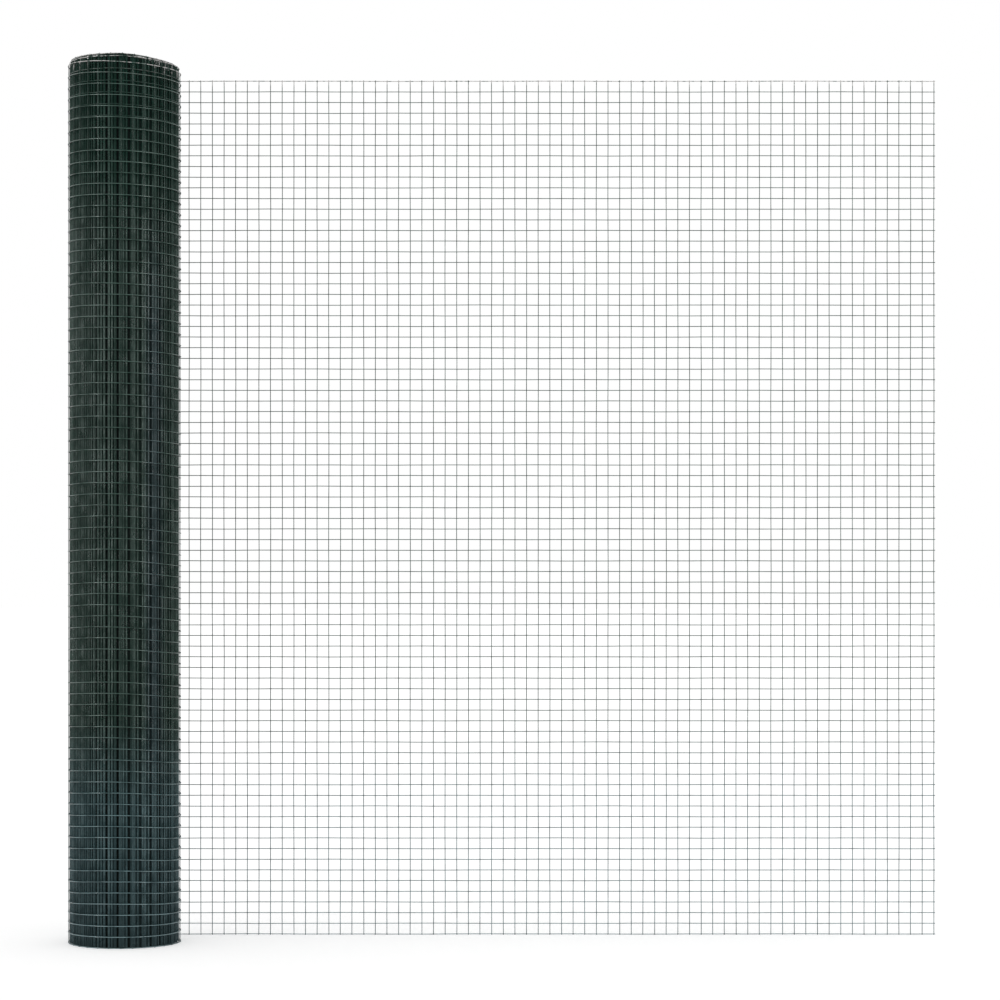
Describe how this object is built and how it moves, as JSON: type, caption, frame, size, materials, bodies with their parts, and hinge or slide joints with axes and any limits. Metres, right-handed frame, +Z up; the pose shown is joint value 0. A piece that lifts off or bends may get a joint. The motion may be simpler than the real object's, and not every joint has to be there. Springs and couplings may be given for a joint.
{
  "type": "roll of wire fencing",
  "caption": "Roll of green coated welded wire mesh standing on its end, with a flat run of mesh paid out from its outer turn.",
  "frame": {"origin": "on the axis of the roll's bore, at the end that the roll stands on", "axes": "+Z up along the bore; +X along the paid-out run, away from the roll; +Y from the axis to the back of the roll, where the run leaves it"},
  "size_m": [1.005, 0.1294, 1.0105],
  "materials": {
    "coated_wire": "dark green plastic coat over galvanized steel wire, satin gloss, bare steel at cut ends"
  },
  "bodies": {
    "root": {"mesh_roll": "coated_wire", "run_panel_column1_row1": "coated_wire", "run_panel_column1_row2": "coated_wire", "run_panel_column1_row3": "coated_wire", "run_panel_column1_row4": "coated_wire", "run_panel_column2_row1": "coated_wire", "run_panel_column2_row2": "coated_wire", "run_panel_column2_row3": "coated_wire", "run_panel_column2_row4": "coated_wire", "run_panel_column3_row1": "coated_wire", "run_panel_column3_row2": "coated_wire", "run_panel_column3_row3": "coated_wire", "run_panel_column3_row4": "coated_wire", "run_panel_column4_row1": "coated_wire", "run_panel_column4_row2": "coated_wire", "run_panel_column4_row3": "coated_wire", "run_panel_column4_row4": "coated_wire"}
  },
  "joints": []
}
